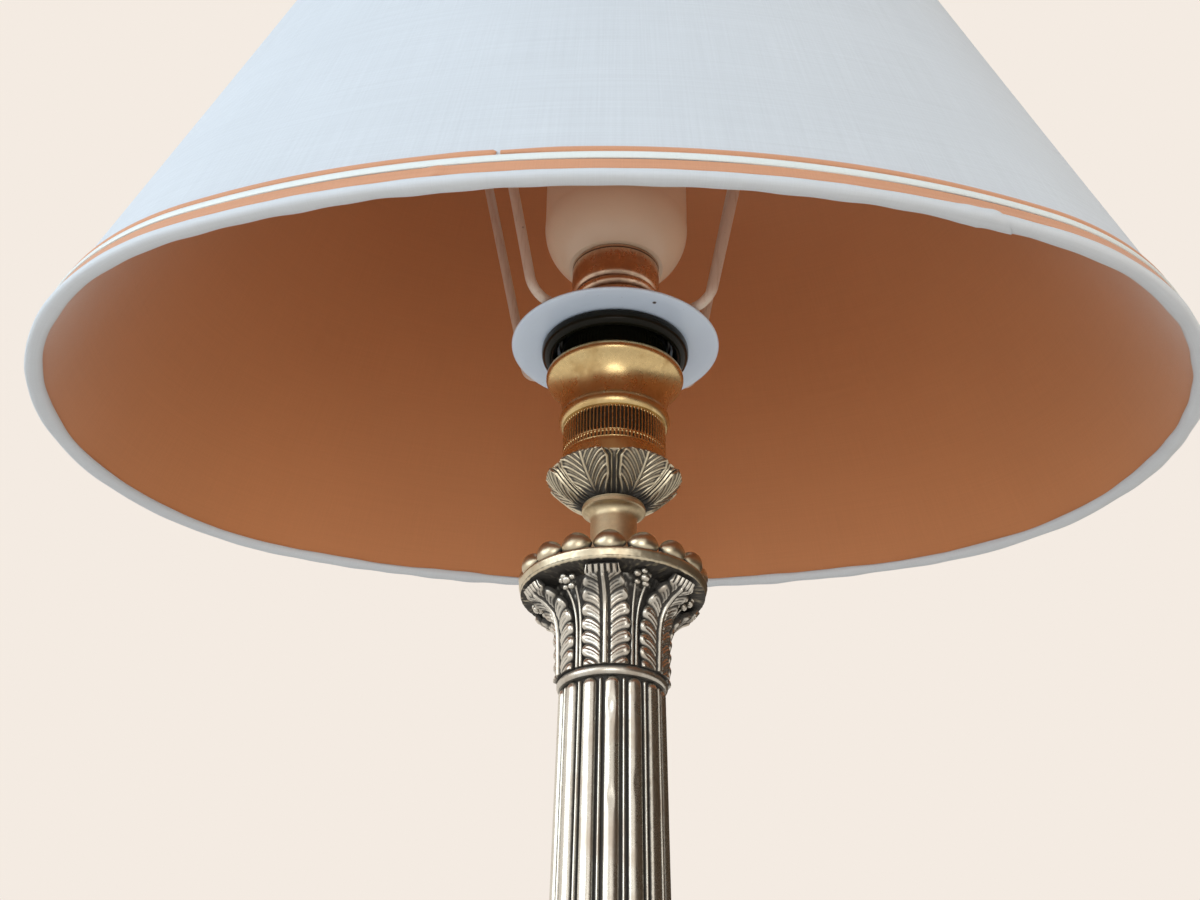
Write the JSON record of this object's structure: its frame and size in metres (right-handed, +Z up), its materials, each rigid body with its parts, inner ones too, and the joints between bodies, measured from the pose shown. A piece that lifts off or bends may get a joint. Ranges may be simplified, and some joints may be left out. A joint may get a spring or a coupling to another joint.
{
  "type": "column table lamp",
  "caption": "Table lamp on a square moulded base: reeded column, leaf capital, screw holder with bulb, and an oval tapered fabric shade.",
  "frame": {"origin": "centre of the underside of the base pad, on the column's axis", "axes": "+Z up the column, X along the long axis of the oval shade, -Y towards the front"},
  "size_m": [0.3394, 0.2274, 0.63],
  "materials": {
    "silvered_brass": "aged silver plate over brass, dark in the recesses",
    "golden_brass": "polished and lightly tarnished",
    "black_bakelite": "moulded, satin",
    "porcelain": "glazed",
    "contact_brass": "bright strip",
    "plated_steel": "zinc plated",
    "grey_iron": "as cast",
    "green_felt": "felt",
    "brown_insulation": "smooth",
    "blue_insulation": "smooth",
    "block_plastic": "moulded",
    "white_enamel": "dipped enamel",
    "shade_cloth": "fine plain weave, pale blue white",
    "salmon_lining": "fine woven lining",
    "white_tape": "rolled woven tape",
    "salmon_trim": "woven band",
    "satin_cord": "satin cord",
    "bulb_plastic": "smooth moulded, cream white",
    "nickel_plate": "plated cap, slightly tarnished",
    "black_glass": "opaque insulator glass",
    "phosphor_glass": "white coated tube",
    "circuit_board": "laminate with parts"
  },
  "bodies": {
    "root": {"plinth": "silvered_brass", "attic_base": "silvered_brass", "foot_ring": "silvered_brass", "column_shaft": "silvered_brass", "astragal_ring": "silvered_brass", "capital_bell": "silvered_brass", "capital_leaves": "silvered_brass", "capital_scrolls": "silvered_brass", "abacus": "silvered_brass", "abacus_beads": "silvered_brass", "leaf_cup": "silvered_brass", "spool_neck": "golden_brass", "cup_washer": "golden_brass", "holder_cap": "golden_brass", "holder_skirt": "golden_brass", "holder_sleeve": "black_bakelite", "lower_lock_ring": "black_bakelite", "upper_lock_ring": "black_bakelite", "cord_gland": "black_bakelite", "holder_insert": "porcelain", "screw_shell": "contact_brass", "contact_tongue": "contact_brass", "holder_screws": "contact_brass", "threaded_tube": "plated_steel", "tube_washer": "plated_steel", "tube_nut": "plated_steel", "weight_screws": "plated_steel", "block_screws": "plated_steel", "base_weight": "grey_iron", "felt_pad": "green_felt", "live_wire": "brown_insulation", "neutral_wire": "blue_insulation", "terminal_block": "block_plastic"},
    "bulb_contact": {"bulb_tip": "nickel_plate"},
    "bulb": {"bulb_cap": "nickel_plate", "bulb_insulator": "black_glass", "bulb_housing": "bulb_plastic", "bulb_ballast": "circuit_board", "bulb_tubes": "phosphor_glass"},
    "shade": {"fitter_disc": "white_enamel", "bottom_ring": "white_enamel", "top_ring": "white_enamel", "shade_struts": "white_enamel", "shade_cover": "shade_cloth", "shade_lining": "salmon_lining", "rim_tape": "white_tape", "top_tape": "white_tape", "rim_band": "salmon_trim", "rim_cord": "satin_cord", "rim_piping": "salmon_trim", "top_band": "salmon_trim", "top_cord": "satin_cord", "top_piping": "salmon_trim"}
  },
  "joints": [
    {"name": "bulb_rise", "type": "slide", "parent": "root", "child": "bulb_contact", "axis": [0, 0, 1], "range_m": [0, 0.0091]},
    {"name": "bulb_unscrew", "type": "hinge", "parent": "bulb_contact", "child": "bulb", "pos_m": [0, 0, 0.444], "axis": [0, 0, 1], "range_deg": [0, 900]},
    {"name": "shade_turn", "type": "hinge", "parent": "root", "child": "shade", "pos_m": [0, 0, 0.4403], "axis": [0, 0, 1], "continuous": true}
  ],
  "couplings": [
    {"joint": "bulb_rise", "follows": "bulb_unscrew", "m_per_rad": 0.00057757}
  ]
}
